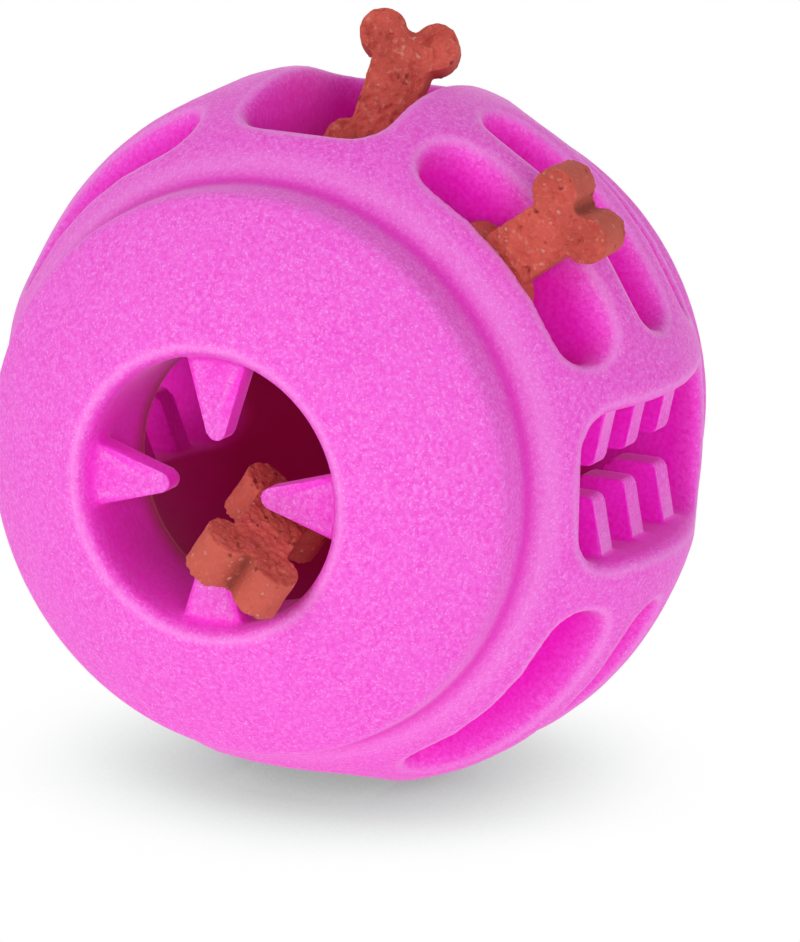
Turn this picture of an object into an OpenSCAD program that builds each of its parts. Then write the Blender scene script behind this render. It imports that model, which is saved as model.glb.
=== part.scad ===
// Treat dispensing ball of foamed rubber, with three bone shaped treats in place.
// A raised cap with a toothed port closes each end of a middle band. The band has four
// long windows, two of them with comb plates, and three treat grooves in each quarter.
// The ball lies with a window up. The ports look along -Y and +Y, and the origin is the
// centre of the ball. All sizes are in millimetres.

/* [Ball] */
// Outer diameter at the middle of the band
ball_d = 80; // [72:1:96]
// Rubber between the hollow and the widest point
wall = 14.5; // [12.5:0.5:16.5]
// Width of the band, from cap foot to cap foot
band_w = 43.4; // [40:0.2:48]
// Step from the widest point in to the side wall of a cap
cap_inset = 9; // [7.5:0.5:10.5]
// Height of the side wall of a cap
cap_rise = 4.9; // [4:0.1:7]
// Height of the dome over the edge of a cap
cap_crown = 12.05; // [10:0.05:14]
// Rounding of the edge of a cap
cap_edge_r = 1.5; // [0.8:0.1:2.2]
// Hollow fillet at the foot of a cap
cap_foot_r = 2; // [1:0.1:2.6]

/* [Ports] */
// Bore of the round port at each end
port_d = 29.6; // [27:0.2:33]
// Rounding of the outer lip of a port
port_lip_r = 1.4; // [0.8:0.1:2]
// Rounding of the inner edge of a port
port_inner_r = 1.2; // [0.6:0.1:2]
// Free circle between the tips of the port teeth
tooth_gap_d = 11; // [10:0.2:13]
// Width of a port tooth at its root
tooth_root_w = 7.4; // [5:0.2:9]
// Rounding of the tip of a port tooth
tooth_tip_r = 1.05; // [0.8:0.05:1.4]
// Thickness of a port tooth
tooth_t = 2.5; // [1.8:0.1:3.5]
// Depth of the teeth below the edge of the port
tooth_sink = 2.9; // [2:0.1:5]

/* [Windows] */
// Length of the two windows with combs, from port to port
comb_window_l = 30.4; // [28.4:0.2:34]
// Length of the two windows without combs
plain_window_l = 28; // [25:0.2:32]
// Width of a window
window_w = 16.4; // [15.4:0.2:18.4]
// Radius of the corners of a window
window_corner_r = 4.2; // [2.5:0.1:6]
// Rounding of the lip of a window
window_lip_r = 1.8; // [1:0.1:2.2]

/* [Window combs] */
// Thickness of a comb plate
comb_t = 3.1; // [2:0.1:4]
// Distance from plate to plate
comb_pitch = 8.2; // [7:0.1:9.5]
// Gap between the tips of two facing plates
comb_gap = 3.6; // [2.5:0.1:6]
// Depth of the outer edge of a plate at the side of the window
comb_sink = 5.2; // [4:0.1:7]
// Further drop of that edge at the tip of the plate
comb_drop = 1.4; // [0:0.1:3]
// Height of a plate at the side of the window
comb_root_h = 10.1; // [8:0.1:11]
// Height of a plate at its tip
comb_tip_h = 5.5; // [4:0.1:7]
// Rounding of the tip corners of a plate
comb_tip_r = 0.8; // [0.4:0.1:1.5]

/* [Grooves] */
// Width that the two outer grooves of a quarter have over the thickness of a treat
groove_slack = 1; // [0.9:0.1:2]
// Rounding of the lip of a groove
groove_lip_r = 1.6; // [1:0.1:2]
// Depth of the outer grooves below the widest point
groove_depth = 12.6; // [11:0.1:13.8]
// Width of the middle groove of a quarter
mid_groove_w = 5.8; // [5.2:0.1:6.8]
// Depth of the middle groove below the widest point
mid_groove_depth = 8.8; // [7:0.1:10]
// Distance from the middle groove to an outer groove
groove_pitch = 11.8; // [11:0.1:13]
// Least rubber between the end of a groove and a window
groove_end_wall = 1.1; // [0.8:0.1:2]

/* [Treats] */
// Length of a treat
treat_l = 18.2; // [16:0.2:20]
// Width of a treat over its lobes
treat_w = 11.4; // [10:0.2:13]
// Thickness of a treat
treat_t = 5.6; // [4.6:0.1:6.1]
// Diameter of a lobe
treat_lobe_d = 5.4; // [4.6:0.1:5.6]
// Width of the shaft between the lobes
treat_shaft_w = 6.6; // [5:0.1:7.5]
// Depth of the dip between two lobes
treat_dip = 1.6; // [0.5:0.1:2.4]
// Room between a treat and what it rests on
treat_room = 0.3; // [0.2:0.05:0.4]

/* [Hidden] */
$fn = 96;

// Overrun of every cut
over = 2;
// How far a tooth or plate runs into the wall that carries it
embed = 1;
// Extra half width of the round ends of a groove
groove_end_swell = 0.1;
// Turn from a window to the next
quarter = 90;
// Rings of a rounded lip, as shares of its radius: how far out from the wall of the opening,
// and how deep under the face. The first ring lies in the opening and the last over the face.
lip_shares = [[-0.12, 1.29], [0.29, 0.29], [1.43, -0.18]];
// Steps of a ring round a corner of a window and along a side
corner_steps = 5;
side_steps = 6;
// Steps of a ring round an end of a groove and along its side
end_steps = 6;
run_steps = 4;

// The treat in the port: its turn, its middle behind the face of the teeth, and how far
// its middle lies outward of the tip of the lowest tooth
port_treat_turn = [106, 31.9, 16.2];
port_treat_back = 0.6;
port_treat_out = 3.5;
// The treat in the top window: its turn, its depth and its place towards the rear
top_treat_turn = [-23, 14.5, 17];
top_treat_sink = 3.9;
top_treat_rear = 3.7;
// The treat in the groove: its turn and its place round the ball, from the top
side_treat_turn = [-1, 53, 1];
side_treat_round = 45.6;

// Main sizes in the section through both ports
ball_r = ball_d / 2;
hollow_r = ball_r - wall;
port_r = port_d / 2;
cap_r = ball_r - cap_inset;
foot_z = band_w / 2;
edge_z = foot_z + cap_rise;
pole_z = edge_z + cap_crown;
// The face of the band is an arc through the widest point and the foot of a cap
band_r = (cap_inset * cap_inset + foot_z * foot_z) / (2 * cap_inset);
band_o = [ball_r - band_r, 0];
// The dome of a cap is an arc through its edge and its pole
dome_r = (cap_r * cap_r + cap_crown * cap_crown) / (2 * cap_crown);
dome_o = [0, pole_z - dome_r];

function unit(v) = v / norm(v);
function leg(long, short) = sqrt(max(0, long * long - short * short));
// Distance from the port axis to the face of the band, at height z on that axis
function band_x(z) = band_o[0] + leg(band_r, z);
// Height of the dome at distance r from the port axis
function dome_z(r) = dome_o[1] + leg(dome_r, r);

// Centres of the roundings in that section, and where they meet the larger arcs
edge_x = cap_r - cap_edge_r;
edge_o = [edge_x, dome_o[1] + leg(dome_r - cap_edge_r, edge_x)];
cove_x = cap_r + cap_foot_r;
cove_o = [cove_x, leg(band_r + cap_foot_r, cove_x - band_o[0])];
cove_end = band_o + unit(cove_o - band_o) * band_r;
lip_x = port_r + port_lip_r;
lip_o = [lip_x, dome_o[1] + leg(dome_r - port_lip_r, lip_x)];
lip_end = dome_o + unit(lip_o - dome_o) * dome_r;
inner_x = port_r + port_inner_r;
inner_o = [inner_x, leg(hollow_r + port_inner_r, inner_x)];
inner_end = unit(inner_o) * hollow_r;

// Port teeth: face height, centre of the tip rounding, and where a flank leaves it
tooth_z = dome_z(port_r) - tooth_sink;
tooth_tip_o = tooth_gap_d / 2 + tooth_tip_r;
tooth_run = [port_r - tooth_tip_o, tooth_root_w / 2];
tooth_a = atan2(tooth_run[1], tooth_run[0]) - asin(tooth_tip_r / norm(tooth_run));
tooth_leave = [tooth_tip_o - tooth_tip_r * sin(tooth_a), tooth_tip_r * cos(tooth_a)];

// Grooves: width, radius of each floor, and the turn from a window to the centre of an end
groove_w = treat_t + groove_slack;
groove_floor = ball_r - groove_depth;
mid_groove_floor = ball_r - mid_groove_depth;
groove_end_run = window_w / 2 + groove_end_wall + groove_w / 2;
groove_end_a = asin(groove_end_run / groove_floor);

// Half spacings of the lobes of a treat
lobe_r = treat_lobe_d / 2;
lobe_x = treat_w / 2 - lobe_r;
lobe_z = treat_l / 2 - lobe_r;

// A point turned as rotate() turns it
function about_x(p, a) = [p[0], p[1] * cos(a) - p[2] * sin(a), p[1] * sin(a) + p[2] * cos(a)];
function about_y(p, a) = [p[0] * cos(a) + p[2] * sin(a), p[1], p[2] * cos(a) - p[0] * sin(a)];
function about_z(p, a) = [p[0] * cos(a) - p[1] * sin(a), p[0] * sin(a) + p[1] * cos(a), p[2]];
function turned(p, a) = about_z(about_y(about_x(p, a[0]), a[1]), a[2]);

// Half of the solid's section beside the port axis, on the front side
module cap_section() {
    intersection() {
        translate(dome_o)
            circle(dome_r);
        polygon([
            dome_o,
            dome_o + unit(edge_o - dome_o) * 2 * dome_r,
            dome_o + [0, 2 * dome_r]
        ]);
    }
    translate(edge_o)
        circle(cap_edge_r);
    square([cap_r, edge_o[1]]);
    difference() {
        polygon([
            [cap_r, cove_o[1]],
            cove_o,
            cove_end,
            [cap_r - cap_foot_r, cove_end[1]]
        ]);
        translate(cove_o)
            circle(cap_foot_r);
    }
}

module port_lip_section() {
    difference() {
        polygon([
            lip_o,
            lip_end,
            lip_end + [0, over],
            [port_r - over, lip_end[1] + over],
            [port_r - over, lip_o[1]],
            [port_r, lip_o[1]]
        ]);
        translate(lip_o)
            circle(port_lip_r);
    }
}

module port_inner_section() {
    difference() {
        polygon([
            inner_o,
            [port_r, inner_o[1]],
            [port_r - over, inner_o[1]],
            [port_r - over, inner_end[1] - over],
            inner_end
        ]);
        translate(inner_o)
            circle(port_inner_r);
    }
}

module shell_section() {
    difference() {
        union() {
            intersection() {
                translate(band_o)
                    circle(band_r);
                translate([0, -foot_z])
                    square([ball_r + over, band_w]);
            }
            cap_section();
            mirror([0, 1])
                cap_section();
        }
        circle(hollow_r);
        translate([0, -pole_z - over])
            square([port_r, 2 * (pole_z + over)]);
        for (side = [0, 1])
            mirror([0, side]) {
                port_lip_section();
                port_inner_section();
            }
    }
}

// Window of length l in the band, cut along +X
module window_outline(l) {
    square([window_w, l - 2 * window_corner_r], center = true);
    square([window_w - 2 * window_corner_r, l], center = true);
    for (x = [-1, 1], y = [-1, 1])
        translate([x * (window_w / 2 - window_corner_r), y * (l / 2 - window_corner_r)])
            circle(window_corner_r);
}

module window_cut(l) {
    translate([hollow_r / 2, 0, 0])
        rotate([quarter, 0, quarter])
            linear_extrude(ball_r + over - hollow_r / 2)
                window_outline(l);
}

// Ring round a window, g outside its wall and at a depth under the face of the band
function window_corner(l, x, z, a, g) = [
    x * (window_w / 2 - window_corner_r) + (window_corner_r + g) * cos(a),
    z * (l / 2 - window_corner_r) + (window_corner_r + g) * sin(a)
];
function window_corners(l, x, z, from, g) =
    [for (k = [0:corner_steps]) window_corner(l, x, z, from + quarter * k / corner_steps, g)];
function window_side(l, x, g) =
    let (run = l / 2 - window_corner_r)
    [for (k = [1:side_steps - 1]) [x * (window_w / 2 + g), -x * run * (1 - 2 * k / side_steps)]];
function window_path(l, g) = concat(
    window_corners(l, 1, 1, 0, g),
    window_corners(l, -1, 1, quarter, g),
    window_side(l, -1, g),
    window_corners(l, -1, -1, 2 * quarter, g),
    window_corners(l, 1, -1, 3 * quarter, g),
    window_side(l, 1, g)
);
function window_ring(l, g, deep) =
    [for (p = window_path(l, g)) [leg(band_x(p[1]), p[0]) - deep, p[0], p[1]]];

// Cutter that rounds the lip of an opening. Its rings climb from the wall of the opening,
// through the face of the band, to the open, between a point under them and one above.
module lip_cutter(rings, under, above) {
    n = len(rings[0]);
    last = len(rings) - 1;
    ends = n * len(rings);
    polyhedron(
        points = concat([for (ring = rings) each ring], [under, above]),
        faces = concat(
            [for (i = [0:last - 1], j = [0:n - 1])
                [i * n + j, (i + 1) * n + (j + 1) % n, i * n + (j + 1) % n]],
            [for (i = [0:last - 1], j = [0:n - 1])
                [i * n + j, (i + 1) * n + j, (i + 1) * n + (j + 1) % n]],
            [for (j = [0:n - 1]) [ends, j, (j + 1) % n]],
            [for (j = [0:n - 1]) [ends + 1, last * n + (j + 1) % n, last * n + j]]
        )
    );
}

module window_lip_cut(l) {
    lip_cutter(
        concat(
            [for (s = lip_shares) window_ring(l, s[0] * window_lip_r, s[1] * window_lip_r)],
            [window_ring(l, lip_shares[2][0] * window_lip_r, -over)]
        ),
        [ball_r - window_corner_r, 0, 0],
        [ball_r + over, 0, 0]
    );
}

// Ring round a groove, g from its middle line and at a depth under the face of the band
function groove_point(out, across, turn, z) =
    [out * cos(turn) - across * sin(turn), out * sin(turn) + across * cos(turn), z];
function groove_round(z, g, turn, from, deep) =
    [for (k = [0:end_steps])
        let (a = from + 2 * quarter * k / end_steps, across = g * cos(a), up = z + g * sin(a))
        groove_point(leg(band_x(up), across) - deep, across, turn, up)];
function groove_side(z, g, from, to, deep) =
    [for (k = [1:run_steps - 1])
        groove_point(band_x(z + g) - deep, 0, from + (to - from) * k / run_steps, z + g)];
function groove_ring(z, g, deep) = concat(
    groove_round(z, g, groove_end_a, quarter, deep),
    groove_side(z, -g, groove_end_a, quarter - groove_end_a, deep),
    groove_round(z, g, quarter - groove_end_a, 3 * quarter, deep),
    groove_side(z, g, quarter - groove_end_a, groove_end_a, deep)
);

module groove_lip_cut(z, w) {
    lip_cutter(
        concat(
            [for (s = lip_shares)
                groove_ring(z, w / 2 + s[0] * groove_lip_r, s[1] * groove_lip_r)],
            [groove_ring(z, w / 2 + lip_shares[2][0] * groove_lip_r, -over)]
        ),
        groove_point(band_x(z) - w, 0, quarter / 2, z),
        groove_point(band_x(z) + over, 0, quarter / 2, z)
    );
}

// Groove in the quarter between +X and +Y, with its middle line at height z. The round
// ends are a little wider than the run between them, so that the walls cross cleanly.
module groove_cut(z, w, floor_r) {
    length = ball_r + over - hollow_r;
    difference() {
        union() {
            rotate([0, 0, groove_end_a])
                rotate_extrude(angle = quarter - 2 * groove_end_a)
                    translate([hollow_r, z - w / 2 + groove_end_swell])
                        square([length, w - 2 * groove_end_swell]);
            for (a = [groove_end_a, quarter - groove_end_a])
                rotate([0, 0, a])
                    translate([hollow_r, 0, z])
                        rotate([0, quarter, 0])
                            cylinder(h = length, r = w / 2);
        }
        cylinder(h = ball_d, r = floor_r, center = true);
    }
}

// Tooth of the front port, pointing in from +X
module port_tooth() {
    translate([0, 0, tooth_z - tooth_t])
        linear_extrude(tooth_t) {
            polygon([
                [port_r + embed, tooth_root_w / 2],
                [port_r, tooth_root_w / 2],
                [tooth_leave[0], tooth_leave[1]],
                [tooth_leave[0], -tooth_leave[1]],
                [port_r, -tooth_root_w / 2],
                [port_r + embed, -tooth_root_w / 2]
            ]);
            translate([tooth_tip_o, 0])
                circle(tooth_tip_r);
        }
}

// Plate of the comb on the +Y side of the +X window, centred on z = 0
module comb_plate() {
    root = [ball_r - comb_sink, window_w / 2 + embed];
    tip = [ball_r - comb_sink - comb_drop, comb_gap / 2];
    tip_y = tip[1] + comb_tip_r;
    linear_extrude(comb_t, center = true) {
        polygon([
            root,
            [tip[0], tip_y],
            [tip[0] - comb_tip_r, tip[1]],
            [tip[0] - comb_tip_h + comb_tip_r, tip[1]],
            [tip[0] - comb_tip_h, tip_y],
            [root[0] - comb_root_h, root[1]]
        ]);
        for (x = [comb_tip_r, comb_tip_h - comb_tip_r])
            translate([tip[0] - x, tip_y])
                circle(comb_tip_r);
    }
}

module ball_solid() {
    difference() {
        rotate_extrude()
            shell_section();
        for (i = [0:3])
            rotate([0, 0, i * quarter]) {
                l = i % 2 == 0 ? comb_window_l : plain_window_l;
                window_cut(l);
                window_lip_cut(l);
                groove_cut(0, mid_groove_w, mid_groove_floor);
                groove_lip_cut(0, mid_groove_w);
                for (z = [-groove_pitch, groove_pitch]) {
                    groove_cut(z, groove_w, groove_floor);
                    groove_lip_cut(z, groove_w);
                }
            }
    }
    for (side = [0, 1])
        mirror([0, 0, side])
            for (i = [0:3])
                rotate([0, 0, i * quarter])
                    port_tooth();
    for (turn = [0, 1], side = [0, 1], i = [-1:1])
        rotate([0, 0, turn * 2 * quarter])
            mirror([0, side, 0])
                translate([0, 0, i * comb_pitch])
                    comb_plate();
}

module ball_shell() {
    color("#ea46c4")
        rotate([quarter, 0, 0])
            ball_solid();
}

// Bone shaped treat, its length along Z and its thickness along Y
module treat() {
    rotate([quarter, 0, 0])
        linear_extrude(treat_t, center = true) {
            square([treat_shaft_w, 2 * lobe_z], center = true);
            square([2 * lobe_x, treat_l - 2 * treat_dip], center = true);
            for (x = [-1, 1], z = [-1, 1])
                translate([x * lobe_x, z * lobe_z])
                    circle(lobe_r);
        }
}

// Directions of the port treat, seen along the port axis: across its face and its width
port_treat_n = turned([0, 1, 0], port_treat_turn);
port_treat_x = turned([1, 0, 0], port_treat_turn);
// How far the tips of two neighbouring teeth lie apart across the face of the treat
port_tip_span = tooth_tip_o * (port_treat_n[0] + port_treat_n[2]);
port_tip_reach = tooth_tip_r * norm([port_treat_n[0], port_treat_n[2]]);
port_treat_slack = port_tip_span - 2 * port_tip_reach - treat_t;
port_treat_lift = treat_t / 2 + port_tip_reach + min(treat_room, port_treat_slack / 2);

module front_port_treat() {
    place = [0, -tooth_z, -tooth_tip_o]
        + [0, port_treat_back, 0]
        + port_treat_x * port_treat_out
        + port_treat_n * port_treat_lift;
    color("#cc6a52")
        translate(place)
            rotate(port_treat_turn)
                treat();
}

// The lobe of the top treat that lies against the right side of the window
top_lobe = turned([lobe_x, 0, -lobe_z], top_treat_turn);
top_treat_n = turned([0, 1, 0], top_treat_turn);
top_reach = top_lobe[0] + lobe_r + treat_t / 2 * abs(top_treat_n[0]);

module top_window_treat() {
    color("#cc6a52")
        translate([window_w / 2 - treat_room - top_reach, top_treat_rear, ball_r - top_treat_sink])
            rotate(top_treat_turn)
                treat();
}

// The lobe of the side treat that lies on the floor of the groove, seen along the port axis
side_lobe = turned([lobe_x, 0, -lobe_z], side_treat_turn);
side_dir = [sin(side_treat_round), cos(side_treat_round)];
side_along = side_dir * [side_lobe[0], side_lobe[2]];
side_across = side_dir * [side_lobe[2], -side_lobe[0]];
side_treat_n = turned([0, 1, 0], side_treat_turn);
side_tilt = treat_t / 2 * norm([side_treat_n[0], side_treat_n[2]]);
side_out = leg(groove_floor + treat_room + lobe_r + side_tilt, side_across) - side_along;

// Where the treat lies along the port axis: its face clears the groove's inner wall at the
// mouth, with the treat's lean towards that wall
side_treat_x = turned([1, 0, 0], side_treat_turn);
side_treat_z = turned([0, 0, 1], side_treat_turn);
side_wall = groove_pitch - groove_w / 2 + groove_end_swell;
side_mouth = band_x(side_wall) - side_out;
side_lean = side_treat_z[1] * side_mouth + side_treat_x[1] * treat_shaft_w / 2;
side_front = side_wall + treat_room + side_treat_n[1] * treat_t / 2 + side_lean;

module side_groove_treat() {
    color("#cc6a52")
        translate([side_out * side_dir[0], -side_front, side_out * side_dir[1]])
            rotate(side_treat_turn)
                treat();
}

ball_shell();
front_port_treat();
top_window_treat();
side_groove_treat();
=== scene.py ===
import math

import bmesh
import bpy
import numpy as np
from mathutils import Euler, Matrix, Vector, noise


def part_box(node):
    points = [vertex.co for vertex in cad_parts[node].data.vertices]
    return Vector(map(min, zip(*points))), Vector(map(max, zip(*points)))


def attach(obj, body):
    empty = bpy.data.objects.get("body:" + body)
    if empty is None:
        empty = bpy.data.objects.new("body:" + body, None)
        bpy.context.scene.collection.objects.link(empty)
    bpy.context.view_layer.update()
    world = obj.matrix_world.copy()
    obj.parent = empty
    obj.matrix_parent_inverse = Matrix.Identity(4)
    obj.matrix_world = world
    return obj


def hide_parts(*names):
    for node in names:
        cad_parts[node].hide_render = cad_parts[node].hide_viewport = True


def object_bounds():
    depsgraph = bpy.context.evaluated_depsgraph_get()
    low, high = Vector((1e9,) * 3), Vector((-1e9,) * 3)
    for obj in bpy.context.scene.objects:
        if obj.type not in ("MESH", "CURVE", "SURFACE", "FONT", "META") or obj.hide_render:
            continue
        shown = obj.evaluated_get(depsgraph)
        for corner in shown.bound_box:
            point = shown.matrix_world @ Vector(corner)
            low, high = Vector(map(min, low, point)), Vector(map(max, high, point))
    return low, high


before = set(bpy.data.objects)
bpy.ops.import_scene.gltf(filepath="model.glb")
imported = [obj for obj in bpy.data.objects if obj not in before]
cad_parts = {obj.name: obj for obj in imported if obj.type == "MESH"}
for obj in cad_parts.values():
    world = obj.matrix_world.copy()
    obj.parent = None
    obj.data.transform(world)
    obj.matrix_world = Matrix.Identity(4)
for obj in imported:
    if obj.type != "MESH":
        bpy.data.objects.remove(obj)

cad_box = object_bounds()
MM = 0.001
scene = bpy.context.scene
scene.view_settings.view_transform = "Standard"

# ---------------------------------------------------------------- camera
IMAGE = (800, 942)
BALL_R = 40 * MM
CAM_AZ, CAM_EL, CAM_ROLL = 0.4468, 0.2592, 0.0222  # radians, round the ball
CAM_DEPTH = 19.8539 * BALL_R
CENTRE_PX = (353.5669, 423.0795)  # where the ball's centre shows
PX_PER_R = 363.0908
SENSOR_MM = 36


def make_camera():
    """The photograph's camera. back points from the ball to it."""
    back = Vector((
        math.sin(CAM_AZ) * math.cos(CAM_EL),
        -math.cos(CAM_AZ) * math.cos(CAM_EL),
        math.sin(CAM_EL),
    ))
    level = Vector((0, 0, 1)).cross(back).normalized()
    rise = back.cross(level)
    c, s = math.cos(CAM_ROLL), math.sin(CAM_ROLL)
    right, up = c * level + s * rise, c * rise - s * level
    focal_px = PX_PER_R * CAM_DEPTH / BALL_R
    x = (CENTRE_PX[0] - IMAGE[0] / 2) / focal_px * CAM_DEPTH
    y = -(CENTRE_PX[1] - IMAGE[1] / 2) / focal_px * CAM_DEPTH
    data = bpy.data.cameras.new("camera")
    data.sensor_width = SENSOR_MM
    data.lens = focal_px * SENSOR_MM / max(IMAGE)
    data.clip_start, data.clip_end = 0.01, 20
    cam = bpy.data.objects.new("camera", data)
    scene.collection.objects.link(cam)
    turn = Matrix((right, up, back)).transposed()
    cam.matrix_world = Matrix.Translation(back * CAM_DEPTH - right * x - up * y) @ turn.to_4x4()
    scene.camera = cam


make_camera()


# ---------------------------------------------------------------- node helpers
class Nodes:
    """Short calls for a material's node tree."""

    def __init__(self, name):
        self.mat = bpy.data.materials.new(name)
        self.mat.use_nodes = True
        self.tree = self.mat.node_tree
        self.tree.nodes.clear()
        self.out = self.add("ShaderNodeOutputMaterial")
        self.point = self.add("ShaderNodeTexCoord").outputs["Object"]

    def add(self, kind, **settings):
        n = self.tree.nodes.new(kind)
        for k, v in settings.items():
            setattr(n, k, v)
        return n

    def put(self, socket, value):
        if hasattr(value, "links"):
            self.tree.links.new(value, socket)
        elif isinstance(value, tuple) and len(value) == 3 and len(socket.default_value) == 4:
            socket.default_value = (*value, 1)
        else:
            socket.default_value = value

    def noise(self, size_mm, detail=2.0, rough=0.5, distort=0.0):
        """Noise whose lumps are about size_mm across."""
        n = self.add("ShaderNodeTexNoise")
        self.put(n.inputs["Vector"], self.point)
        n.inputs["Scale"].default_value = 1 / (size_mm * MM)
        n.inputs["Detail"].default_value = detail
        n.inputs["Roughness"].default_value = rough
        n.inputs["Distortion"].default_value = distort
        return n.outputs["Fac"]

    def ramp(self, fac, *stops):
        n = self.add("ShaderNodeValToRGB")
        self.put(n.inputs["Fac"], fac)
        e = n.color_ramp.elements
        while len(e) < len(stops):
            e.new(0.5)
        for el, (pos, col) in zip(e, stops):
            el.position = pos
            el.color = (col, col, col, 1) if isinstance(col, (int, float)) else (*col, 1)
        return n.outputs["Color"]

    def mix(self, fac, a, b):
        n = self.add("ShaderNodeMix", data_type="RGBA")
        n.clamp_factor = True
        self.put(n.inputs[0], fac)
        self.put(n.inputs[6], a)
        self.put(n.inputs[7], b)
        return n.outputs[2]

    def maths(self, op, a, b=0.0, clamp=False):
        n = self.add("ShaderNodeMath", operation=op, use_clamp=clamp)
        self.put(n.inputs[0], a)
        self.put(n.inputs[1], b)
        return n.outputs[0]

    def vec(self, op, a, b=(0, 0, 0), out="Vector"):
        n = self.add("ShaderNodeVectorMath", operation=op)
        self.put(n.inputs[0], a)
        self.put(n.inputs[1], b)
        return n.outputs[out]

    def cells(self, size_mm, wobble=0.35):
        """Cells of about size_mm across, with their edges pushed about by wobble: distance
        from a cell's middle, and a number per cell."""
        n = self.add("ShaderNodeTexVoronoi")
        lumps = self.add("ShaderNodeTexNoise")
        self.put(lumps.inputs["Vector"], self.point)
        lumps.inputs["Scale"].default_value = 1.6 / (size_mm * MM)
        push = self.vec("SCALE", self.vec("SUBTRACT", lumps.outputs["Color"], (0.5, 0.5, 0.5)))
        push.node.inputs["Scale"].default_value = wobble * size_mm * MM * 2
        self.put(n.inputs["Vector"], self.vec("ADD", self.point, push))
        n.inputs["Scale"].default_value = 1 / (size_mm * MM)
        split = self.add("ShaderNodeSeparateColor")
        self.put(split.inputs[0], n.outputs["Color"])
        return n.outputs["Distance"], split.outputs[0]

    def attribute(self, name):
        return self.add("ShaderNodeAttribute", attribute_name=name).outputs["Fac"]

    def bump(self, height, strength, depth_mm, after=None):
        n = self.add("ShaderNodeBump")
        n.inputs["Strength"].default_value = strength
        n.inputs["Distance"].default_value = depth_mm * MM
        self.put(n.inputs["Height"], height)
        if after is not None:
            self.put(n.inputs["Normal"], after)
        return n.outputs["Normal"]

    def surface(self, **sockets):
        b = self.add("ShaderNodeBsdfPrincipled")
        for k, v in sockets.items():
            self.put(b.inputs[k.replace("_", " ")], v)
        self.put(self.out.inputs["Surface"], b.outputs[0])
        return self.mat


# ---------------------------------------------------------------- mesh helpers
def apply_modifiers(obj):
    dg = bpy.context.evaluated_depsgraph_get()
    mesh = bpy.data.meshes.new_from_object(obj.evaluated_get(dg))
    obj.modifiers.clear()
    obj.data = mesh


def shade_smooth(mesh):
    for p in mesh.polygons:
        p.use_smooth = True


def voxel_copy(node, name, voxel):
    """A closed, evenly divided copy of a CAD node's mesh."""
    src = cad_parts[node].data.copy()
    b = bmesh.new()
    b.from_mesh(src)
    bmesh.ops.remove_doubles(b, verts=b.verts, dist=1e-6)
    b.to_mesh(src)
    b.free()
    obj = bpy.data.objects.new(name, src)
    scene.collection.objects.link(obj)
    mod = obj.modifiers.new("remesh", "REMESH")
    mod.mode, mod.voxel_size, mod.adaptivity = "VOXEL", voxel, 0
    mod.use_smooth_shade = True
    apply_modifiers(obj)
    obj.data.name = name
    obj.data.materials.clear()
    shade_smooth(obj.data)
    return obj


def coords(mesh):
    co = np.empty(len(mesh.vertices) * 3)
    mesh.vertices.foreach_get("co", co)
    return co.reshape(-1, 3)


def set_coords(mesh, co):
    mesh.vertices.foreach_set("co", co.ravel())
    mesh.update()


def soften(mesh, rounds, weight=1.0):
    """Rounds every edge a little: each point moves halfway to the mean of its neighbours.
    weight, from 0 to 1, says how far each point takes part."""
    co = coords(mesh)
    e = np.empty(len(mesh.edges) * 2, int)
    mesh.edges.foreach_get("vertices", e)
    a, b = e.reshape(-1, 2).T
    n = len(co)
    count = np.bincount(a, minlength=n) + np.bincount(b, minlength=n)
    share = (0.5 * weight * np.ones(n))[:, None]
    for _ in range(rounds):
        mean = np.stack([
            np.bincount(a, co[b, i], n) + np.bincount(b, co[a, i], n) for i in range(3)
        ], 1) / count[:, None]
        co += (mean - co) * share
    set_coords(mesh, co)


def thin(obj, faces):
    """Brings a smooth mesh down to about that many triangles."""
    obj.data.calc_loop_triangles()
    have = len(obj.data.loop_triangles)
    if have <= faces:
        return
    mod = obj.modifiers.new("thin", "DECIMATE")
    mod.ratio = faces / have
    apply_modifiers(obj)


def add_layer(mesh, name, value):
    """A number for each point, which a material reads by its name."""
    mesh.attributes.new(name, "FLOAT", "POINT").data.foreach_set("value", value)


def step(x, low, high):
    """Rises smoothly from 0 at low to 1 at high."""
    t = np.clip((x - low) / (high - low), 0, 1)
    return t * t * (3 - 2 * t)


# ---------------------------------------------------------------- rubber ball
# The CAD's arcs of the band and of a cap, in millimetres: centre and radius, and the foot
# and the side wall of a cap
BAND_O, BAND_R = 9.3405, 30.6595
DOME_O, DOME_R = -7.2503, 45.9003
FOOT_Y, CAP_R = 21.7, 31.0
# The CAD's port bore, its teeth (outer face and thickness) and the comb plates (thickness and
# spacing), and how far the crisp copies of teeth and plates stand proud
PORT_R = 14.8
TOOTH_Y, TOOTH_T = 33.3, 2.5
PLATE_T, PLATE_PITCH = 3.1, 8.2
PROUD = 0.06
TOOTH_EDGE, PLATE_EDGE = 0.22, 0.3  # how far their edges are rounded off
# The ball's mesh: the size of its voxels, how far it is softened, first everywhere and then
# away from the teeth and plates, its triangles, and the angle above which an edge is sharp
BALL_VOXEL = 0.42
SOFT_ALL, SOFT_BODY = 0.38, 1.1
BALL_FACES = 170_000
SHARP = math.radians(38)
# The ramps and tones below paint shade and highlight into the rubber's colour: a deeper, darker
# painted shade in the openings and the hollow, a pale painted highlight on the lips and the
# band's ridges, and a painted shade in the crease at the foot of each cap. The knit tone is the
# rubber's own.
DEEP_SPAN = 16  # how deep the ramps of the openings reach, in millimetres
PAINTED_HIGHLIGHT_TONE, HOLLOW_SHADE_TONE = (0.97, 0.38, 0.88), (0.56, 0.002, 0.14)
FOOT_SHADE_TONE, KNIT_TONE = (0.80, 0.020, 0.52), (0.80, 0.06, 0.58)
KNIT_WIDTH, KNIT_WOBBLE = 0.45 * MM, 1.1 * MM


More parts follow.
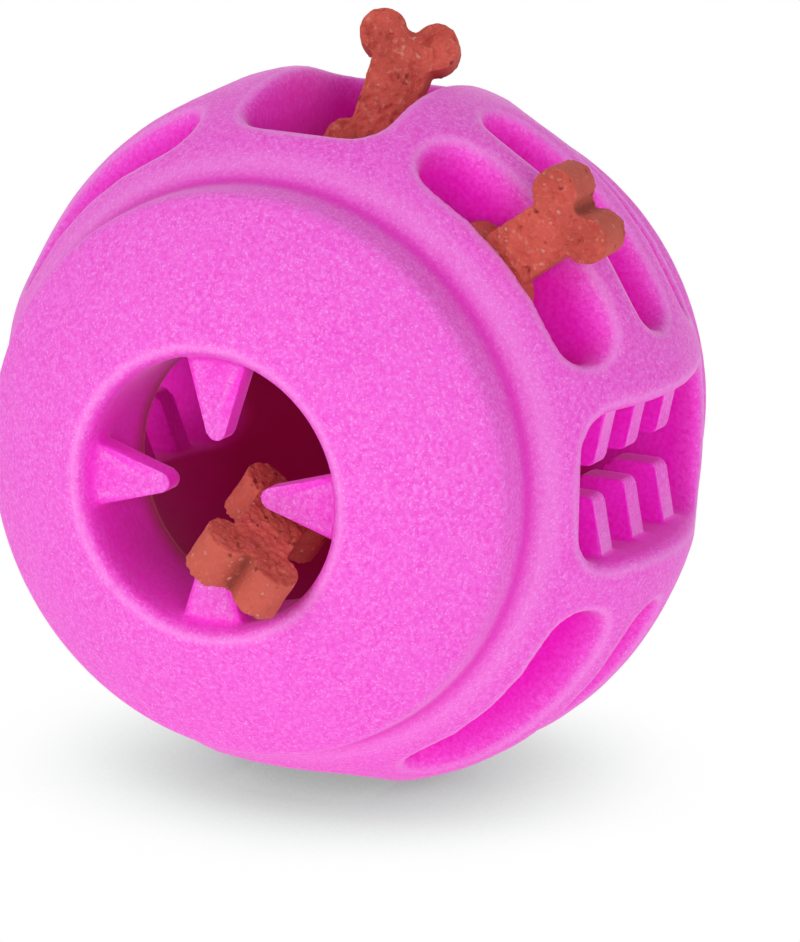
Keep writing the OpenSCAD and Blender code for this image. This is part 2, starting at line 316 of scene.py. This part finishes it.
def rubber_material():
    m = Nodes("foamed_rubber")
    grain = m.noise(0.50, 3, 0.6)
    speck = m.noise(0.26, 2, 0.55)
    cloud = m.noise(7.0, 3, 0.55)
    tone = m.ramp(grain, (0.32, (0.87, 0.066, 0.62)), (0.50, (0.92, 0.115, 0.71)),
                  (0.68, (0.95, 0.200, 0.79)))
    tone = m.mix(m.ramp(cloud, (0.35, 0.0), (0.7, 0.30)), tone, (0.93, 0.140, 0.74))
    tone = m.mix(m.ramp(speck, (0.56, 0.0), (0.70, 0.7)), tone, (0.96, 0.40, 0.86))
    # Painted shade: the skin is coloured a deeper, darker magenta in the openings and darker
    # still towards the hollow, where shade falls. Painted highlight: it is paler on the lips of
    # the openings and along the ridges of the band, where light catches them.
    deep = m.attribute("deep")
    # Painted highlight on the lips of the openings and on the band's ridge
    lip_highlight = m.ramp(deep, (0.05, 0.0), (0.28, 0.42), (0.85, 0.0))
    pale = m.maths("ADD", m.maths("MULTIPLY", lip_highlight, m.attribute("body")), m.attribute("ridge"))
    deep = m.maths("MULTIPLY", deep, 1 / DEEP_SPAN)
    # Painted shade in the openings, and a deeper painted shade towards the hollow
    inner = m.ramp(grain, (0.32, (0.94, 0.004, 0.60)), (0.66, (1.0, 0.024, 0.76)))
    tone = m.mix(m.ramp(deep, (0.02, 0.0), (0.10, 0.62), (0.26, 1.0)), tone, inner)
    tone = m.mix(m.ramp(deep, (0.74, 0.0), (0.94, 1.0)), tone, HOLLOW_SHADE_TONE)
    tone = m.mix(pale, tone, PAINTED_HIGHLIGHT_TONE)
    # Painted shade in the crease along the foot of each cap
    tone = m.mix(m.maths("MULTIPLY", m.attribute("foot"), 0.8), tone, FOOT_SHADE_TONE)
    # Faint knit lines where the rubber met in the mould, every eighth of a turn on the caps
    wobble = m.maths("MULTIPLY", m.maths("SUBTRACT", m.noise(3.0, 2), 0.5), KNIT_WOBBLE)
    line = None
    for k in range(4):
        a = math.radians(45 * k + 1.5)
        off = m.vec("DOT_PRODUCT", m.point, (-math.sin(a), 0, math.cos(a)), out="Value")
        off = m.maths("ABSOLUTE", m.maths("ADD", off, wobble))
        line = off if line is None else m.maths("MINIMUM", line, off)
    line = m.ramp(m.maths("MULTIPLY", line, 1 / KNIT_WIDTH), (0.0, 1.0), (1.0, 0.0))
    split = m.add("ShaderNodeSeparateXYZ")
    m.put(split.inputs[0], m.point)
    cap = m.maths("ABSOLUTE", split.outputs["Y"])
    cap = m.ramp(m.maths("MULTIPLY", cap, 1 / BALL_R), (0.68, 0.0), (0.72, 1.0))
    patchy = m.ramp(m.noise(9.0), (0.40, 0.1), (0.62, 1.0))
    line = m.maths("MULTIPLY", m.maths("MULTIPLY", line, cap), patchy)
    tone = m.mix(m.maths("MULTIPLY", line, 0.30), tone, KNIT_TONE)
    bump = m.bump(grain, 0.30, 0.12)
    bump = m.bump(speck, 0.22, 0.06, bump)
    return m.surface(
        Base_Color=tone, Roughness=0.62, Normal=bump, Specular_IOR_Level=0.2,
        Sheen_Weight=0.26, Sheen_Roughness=0.38, Sheen_Tint=(1.0, 0.75, 0.96),
    )


def arc(cx, cy, r, start, stop, steps):
    """Points on an arc, in degrees."""
    turns = [math.radians(start + (stop - start) * k / steps) for k in range(steps + 1)]
    return [(cx + r * math.cos(a), cy + r * math.sin(a)) for a in turns]


def tooth_outline():
    """A port tooth that points in from +x, in millimetres: root, flank, round tip, flank.
    Its root ends inside the ball."""
    tip_x, tip_r, half, root = 6.55, 1.05 + PROUD, 3.7 + PROUD, 15.6
    run = (PORT_R - tip_x, half)
    lean = math.degrees(math.atan2(run[1], run[0]) - math.asin(tip_r / math.hypot(*run)))
    tip = arc(tip_x, 0, tip_r, 90 + lean, 270 - lean, 8)
    return [(root, half), (PORT_R, half)] + tip + [(PORT_R, -half), (root, -half)]


def plate_outline():
    """A comb plate in the +x window, in millimetres, from its root, which runs from outer to
    inner, to its tip, which is tip_h across and has corners of radius r."""
    root, outer, inner = 9.0, 34.8, 24.7
    tip_x, tip_y, tip_h, r = 33.4, 1.8, 5.5, 0.8
    y = tip_y - PROUD + r
    corners = arc(tip_x - r + PROUD, y, r, 0, -90, 5) \
        + arc(tip_x - tip_h + r - PROUD, y, r, -90, -180, 5)
    return [(outer + PROUD, root)] + corners + [(inner - PROUD, root)]


def turned(degrees, axis):
    return Matrix.Rotation(math.radians(degrees), 4, axis)


def prism(b, outline, low, high, place, edge):
    """Adds a prism on the outline to b, with its end rims rounded off by edge, and places
    it."""
    own = bmesh.new()
    rings = [[own.verts.new((x, y, z)) for x, y in outline] for z in (low, high)]
    n = len(outline)
    own.faces.new(rings[0][::-1])
    own.faces.new(rings[1])
    for i in range(n):
        own.faces.new([rings[0][i], rings[0][(i + 1) % n], rings[1][(i + 1) % n], rings[1][i]])
    rims = [e for e in own.edges if abs(e.verts[0].co.z - e.verts[1].co.z) < 1e-6]
    bmesh.ops.bevel(own, geom=rims, offset=edge, segments=3, profile=0.5, affect="EDGES")
    bmesh.ops.recalc_face_normals(own, faces=own.faces)
    if place.determinant() < 0:
        bmesh.ops.reverse_faces(own, faces=own.faces)
    mesh = bpy.data.meshes.new("prism")
    bmesh.ops.transform(own, matrix=Matrix.Scale(MM, 4) @ place, verts=own.verts)
    own.to_mesh(mesh)
    own.free()
    b.from_mesh(mesh)


def crisp_parts():
    """The port teeth and the comb plates, with the crisp edges that the ball's own mesh
    softens. They stand a hair proud of it."""
    b = bmesh.new()
    for port in (-90, 90):
        for k in range(4):
            place = turned(port, "X") @ turned(90 * k, "Z")
            low, high = TOOTH_Y - TOOTH_T - PROUD, TOOTH_Y + PROUD
            prism(b, tooth_outline(), low, high, place, TOOTH_EDGE)
    half = PLATE_T / 2 + PROUD
    for window in (0, 180):
        for flip in (1, -1):
            for k in (-1, 0, 1):
                along = Matrix.Translation((0, k * PLATE_PITCH, 0))
                over = Matrix.Scale(flip, 4, (0, 0, 1))
                place = turned(window, "Y") @ along @ over @ turned(90, "X")
                prism(b, plate_outline(), -half, half, place, PLATE_EDGE)
    mesh = bpy.data.meshes.new("crisp")
    b.to_mesh(mesh)
    b.free()
    obj = bpy.data.objects.new("crisp", mesh)
    scene.collection.objects.link(obj)
    return obj


def unite(obj, other):
    """Makes one closed mesh of the two, in obj."""
    mod = obj.modifiers.new("unite", "BOOLEAN")
    mod.operation, mod.solver, mod.object = "UNION", "EXACT", other
    apply_modifiers(obj)
    bpy.data.objects.remove(other)


def mark_depth(mesh):
    """Gives the rubber the layers by which its material paints shade and highlight. "deep" is how
    deep each point lies under the outer face, in millimetres, where the faces of the teeth count
    as outer and the outer edges of the comb plates nearly so; painted shade deepens with it, and
    a painted highlight lies just inside the lips. "foot" is 1 along the foot of each cap, for the
    painted shade in its crease, "ridge" is above 0 on the ridge of the band beside it, for a
    painted highlight there, and "body" is 0 on the teeth and plates, and low on the shoulders of
    the caps, where the lip highlight is kept off or low."""
    x, y, z = np.abs(coords(mesh) / MM).T
    r = np.hypot(x, z)
    band = BAND_O + np.sqrt(BAND_R ** 2 - np.minimum(y, FOOT_Y) ** 2) - r
    dome = DOME_O + np.sqrt(DOME_R ** 2 - np.minimum(r, CAP_R) ** 2) - y
    deep = np.where(y < FOOT_Y, band, np.minimum(CAP_R - r, dome))
    tooth_face = step(PORT_R - 0.2 - r, 0, 0.8) * step(y, TOOTH_Y - 0.25, TOOTH_Y)
    plate_edge = step(8.2 - z, 0, 0.4) * step(x, 32.2, 33.0) * step(10.6 - y, 0, 0.4)
    from_plate = np.abs(y - PLATE_PITCH * np.round(y / PLATE_PITCH))
    plate_edge *= from_plate < PLATE_T / 2 - 0.12
    add_layer(mesh, "deep", np.maximum(deep, 0) * (1 - tooth_face) * (1 - 0.9 * plate_edge))
    # Painted shade in the crease along the foot of each cap: 1 there
    foot = np.exp(-((r - CAP_R - 0.2) ** 2 + (y - FOOT_Y) ** 2) / 1.1 ** 2)
    add_layer(mesh, "foot", foot)
    # The rooms that the teeth and the comb plates take up, and a cap outside its port, where the
    # painted lip highlight is kept off or low
    teeth = (r < PORT_R + 0.15) * (np.abs(y - TOOTH_Y + TOOTH_T / 2) < 1.7)
    plates = (z < 8.4) * (x > 23) * (y < 10.4) * (r < 35.2)
    shoulder = (y > FOOT_Y) * (r > 24)
    add_layer(mesh, "body", (1.0 - teeth) * (1.0 - plates) * (1.0 - 0.8 * shoulder))
    # Painted highlight along the ridge of the band beside the foot of each cap
    ridge = 0.30 * np.exp(-((y - FOOT_Y + 2.0) / 1.3) ** 2) * (band < 0.4) * (y < FOOT_Y)
    add_layer(mesh, "ridge", ridge)


def make_ball():
    ball = voxel_copy("ball_shell", "rubber_ball", BALL_VOXEL * MM)
    mesh = ball.data
    x, y, z = np.abs(coords(mesh) / MM).T
    r = np.hypot(x, z)
    # The rooms of the teeth and of the comb plates, in millimetres, with soft borders. They
    # are softened less than the body.
    tooth = step(15.6 - r, 0, 1.0) * step(y, 29.6, 30.4) * step(34.2 - y, 0, 0.6)
    comb = step(9.2 - z, 0, 0.8) * step(x, 23, 24.5)
    comb *= step(11.0 - y, 0, 1.0) * step(36.2 - r, 0, 1.0)
    soften(mesh, max(1, round(SOFT_ALL / BALL_VOXEL ** 2)))
    soften(mesh, max(1, round(SOFT_BODY / BALL_VOXEL ** 2)), 1 - np.maximum(tooth, comb))
    thin(ball, BALL_FACES)
    unite(ball, crisp_parts())
    mesh = ball.data
    shade_smooth(mesh)
    mesh.set_sharp_from_angle(angle=SHARP)
    mark_depth(mesh)
    mesh.materials.append(rubber_material())
    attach(ball, "ball")
    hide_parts("ball_shell")


# ---------------------------------------------------------------- treats
TREAT_VOXEL = 0.17
SOFT_TREAT = 0.36
# The pit and crease tones are painted shade; the crumb tone is a paler crumb with a painted
# highlight on it
PIT_SHADE_TONE, CRUMB_AND_HIGHLIGHT_TONE, CREASE_SHADE_TONE = (0.20, 0.024, 0.018), (0.80, 0.32, 0.25), (0.20, 0.028, 0.018)


def treat_material():
    m = Nodes("baked_treat")
    side = m.attribute("side")
    crumb = m.noise(0.75, 4, 0.65, 0.4)
    grit = m.noise(0.25, 2, 0.6)
    cloud = m.noise(4.0, 2, 0.5)
    tone = m.ramp(cloud, (0.35, (0.50, 0.074, 0.055)), (0.68, (0.65, 0.110, 0.082)))
    # Painted light: the side walls are painted lighter and oranger than the flat faces, as where
    # light falls on them
    tone = m.mix(m.maths("MULTIPLY", side, 0.45), tone, (0.64, 0.135, 0.095))
    # Painted shade in the crease between two lobes
    tone = m.mix(m.maths("MULTIPLY", m.attribute("crease"), 0.8), tone, CREASE_SHADE_TONE)
    # The flat faces show more of the crumb than the sides: painted shade in the hollows of the
    # crumb relief and a painted highlight on its raised parts, which the crumb bump below sinks
    # and raises
    flat = m.maths("SUBTRACT", 1.0, m.maths("MULTIPLY", side, 0.6))
    low = m.maths("MULTIPLY", flat, m.ramp(crumb, (0.28, 0.8), (0.40, 0.0)))
    tone = m.mix(low, tone, (0.32, 0.045, 0.030))
    high = m.maths("MULTIPLY", flat, m.ramp(crumb, (0.56, 0.0), (0.70, 0.6)))
    tone = m.mix(high, tone, (0.74, 0.24, 0.18))
    # Crumbs paler than the dough, with a painted highlight on them, and pits whose darkness is
    # painted shade, each in a cell of its own
    near, pick = m.cells(0.85)
    spot = m.ramp(near, (0.16, 1.0), (0.42, 0.0))
    pale = m.maths("MULTIPLY", spot, m.ramp(pick, (0.80, 0.0), (0.90, 0.75)))
    tone = m.mix(pale, tone, CRUMB_AND_HIGHLIGHT_TONE)
    pit_and_shade = m.maths("MULTIPLY", spot, m.ramp(pick, (0.06, 0.8), (0.09, 0.0)))
    tone = m.mix(pit_and_shade, tone, PIT_SHADE_TONE)
    tone = m.mix(m.ramp(grit, (0.66, 0.0), (0.76, 0.6)), tone, (0.76, 0.36, 0.28))
    bump = m.bump(crumb, 0.8, 0.40)
    bump = m.bump(m.maths("SUBTRACT", pale, pit_and_shade), 0.7, 0.30, bump)
    bump = m.bump(grit, 0.4, 0.10, bump)
    return m.surface(
        Base_Color=tone, Roughness=0.82, Normal=bump, Specular_IOR_Level=0.25,
    )


TREAT_MAT = treat_material()


def make_treat(node, body, turn, seed):
    """turn is how the CAD turns the treat, in degrees. The treat's own flat faces are across
    y, and its lobes are at its z ends. seed gives it crumbs of its own."""
    obj = voxel_copy(node, node.replace("_treat", "_bone"), TREAT_VOXEL * MM)
    mesh = obj.data
    soften(mesh, max(2, round(SOFT_TREAT / TREAT_VOXEL ** 2)))
    normals = np.empty(len(mesh.vertices) * 3)
    mesh.vertices.foreach_get("normal", normals)
    normals = normals.reshape(-1, 3)
    co = coords(mesh)
    low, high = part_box(node)
    middle = (np.array(low) + np.array(high)) / 2
    to_own = np.array(Euler([math.radians(a) for a in turn]).to_matrix())
    own = (co - middle) @ to_own / MM
    face = np.abs(normals @ to_own[:, 1])
    # A crease where the dip between two lobes is
    crease = np.exp(-(own[:, 0] / 0.6) ** 2) * step(np.abs(own[:, 2]), 5.6, 7.0)
    # Broad swells all round, and crumbs, pits and chips mostly on the flat faces
    shift = Vector((seed * 7.3, seed * 3.1, seed * 5.7))
    push = np.empty(len(co))
    for i, c in enumerate(co):
        q = Vector(c) / MM
        wide = noise.noise(q * 0.33 + shift)
        fine = noise.fractal(q * 1.1 + shift, 0.8, 2.0, 3)
        pit = max(0.0, noise.noise(q * 0.9 - shift) - 0.22)
        chip = max(0.0, noise.noise(q * 1.7 - shift * 2) - 0.15)
        rough = 0.20 * fine - 1.1 * pit + 0.45 * chip
        push[i] = 0.10 * wide + face[i] * rough + (1 - face[i]) * 0.04 * fine
    # Nothing stands more than 0.05 mm proud of the CAD's shape, so that the treat stays
    # clear of its seat
    push = np.minimum(push - 0.08, 0.05) - 0.2 * crease * (1 - face)
    set_coords(mesh, co + normals * push[:, None] * MM)
    # The side layer says where the painted light of the side walls goes, and keeps the crumb
    # mostly to the flat faces
    add_layer(mesh, "side", step(1 - face, 0.25, 0.75))
    # The crease layer carries the painted shade in the dip between the lobes
    add_layer(mesh, "crease", crease * (1 - face))
    mesh.materials.append(TREAT_MAT)
    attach(obj, body)
    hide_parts(node)


make_ball()
make_treat("front_port_treat", "port_treat", (106, 31.9, 16.2), 1)
make_treat("top_window_treat", "window_treat", (-23, 14.5, 17), 2)
make_treat("side_groove_treat", "groove_treat", (-1, 53, 1), 3)


# ---------------------------------------------------------------- floor and light
WORLD_LIGHT = (0.45, 0.32)  # from around and from overhead
FLOOR_GAP, FLOOR_HALF = 0.1 * MM, 8.0  # room under the ball, and half the floor's side
# The floor as it lights the ball: its colour, and light of its own
FLOOR_TONE, FLOOR_LIGHT = (0.85, 0.85, 0.85), 0.30
# The floor where it is seen: its colour in the shadow, how bright it is with no open sky over
# it, how fast that grows with the open sky, and how far off something still hides the sky
FLOOR_SEEN = (0.05, 0.11, 0.07)
SKY_LEAST, SKY_SHARE, SKY_REACH = 0.30, 1.20, 0.3


def seen_ray(m):
    """1 for what the camera sees directly, in gloss or through something clear."""
    path = m.add("ShaderNodeLightPath").outputs
    return m.maths("MAXIMUM", path["Is Camera Ray"],
                   m.maths("MAXIMUM", path["Is Glossy Ray"], path["Is Transmission Ray"]))


def make_floor():
    """A white floor under the ball, which is staged and so isn't part of the object."""
    z = cad_box[0][2] - FLOOR_GAP
    s = FLOOR_HALF
    mesh = bpy.data.meshes.new("floor")
    mesh.from_pydata([(-s, -s, z), (s, -s, z), (s, s, z), (-s, s, z)], [], [(0, 1, 2, 3)])
    floor = bpy.data.objects.new("floor", mesh)
    scene.collection.objects.link(floor)
    m = Nodes("white_floor")
    seen = seen_ray(m)
    # Where it is seen, the floor is as bright as the share of open sky over it, up to plain
    # white, with a little of the lamps' own shadow and of the ball's colour
    sky = m.add("ShaderNodeAmbientOcclusion", samples=12)
    sky.inputs["Distance"].default_value = SKY_REACH
    open_sky = m.maths("MULTIPLY", sky.outputs["AO"], SKY_SHARE)
    open_sky = m.maths("ADD", open_sky, SKY_LEAST, clamp=True)
    away = m.ramp(open_sky, (0.86, 1.0), (0.99, 0.0))
    mesh.materials.append(m.surface(
        Base_Color=m.mix(seen, FLOOR_TONE, m.mix(away, (0, 0, 0), FLOOR_SEEN)),
        Roughness=0.9, Specular_IOR_Level=0.0,
        Emission_Color=m.mix(seen, (FLOOR_LIGHT,) * 3, open_sky), Emission_Strength=1.0,
    ))


def sun(name, travels, share, spread):
    """A lamp far away, whose light travels that way. share is what it adds to a white
    surface that faces it, and spread is how wide it is, in degrees."""
    data = bpy.data.lights.new(name, "SUN")
    data.energy, data.angle = share * math.pi, math.radians(spread)
    obj = bpy.data.objects.new(name, data)
    scene.collection.objects.link(obj)
    obj.rotation_euler = Vector(travels).to_track_quat("-Z", "Y").to_euler()


def make_world():
    """Plain white where it is seen, and WORLD_LIGHT for the light that it gives."""
    world = bpy.data.worlds.new("studio")
    world.use_nodes = True
    tree = world.node_tree
    bg = tree.nodes["Background"]
    path = tree.nodes.new("ShaderNodeLightPath").outputs
    last = path["Is Camera Ray"]
    for name in ("Is Glossy Ray", "Is Transmission Ray"):
        n = tree.nodes.new("ShaderNodeMath")
        n.operation = "MAXIMUM"
        tree.links.new(last, n.inputs[0])
        tree.links.new(path[name], n.inputs[1])
        last = n.outputs[0]
    level = tree.nodes.new("ShaderNodeMapRange")
    tree.links.new(last, level.inputs["Value"])
    level.inputs["To Max"].default_value = 1.0
    tree.links.new(level.outputs[0], bg.inputs["Strength"])
    # The studio is a little dimmer overhead than around
    point = tree.nodes.new("ShaderNodeTexCoord").outputs["Generated"]
    split = tree.nodes.new("ShaderNodeSeparateXYZ")
    tree.links.new(point, split.inputs[0])
    dim = tree.nodes.new("ShaderNodeMapRange")
    tree.links.new(split.outputs["Z"], dim.inputs["Value"])
    dim.inputs["From Min"].default_value, dim.inputs["From Max"].default_value = 0.1, 0.9
    dim.inputs["To Min"].default_value, dim.inputs["To Max"].default_value = WORLD_LIGHT
    tree.links.new(dim.outputs[0], level.inputs["To Min"])
    bg.inputs["Color"].default_value = (1, 1, 1, 1)
    scene.world = world


make_floor()
make_world()
sun("key", (0.46, 0.72, -0.52), 0.32, 45)
sun("front", (-0.66, 0.74, -0.10), 0.42, 40)
sun("rear", (0.10, -0.96, -0.22), 0.22, 70)
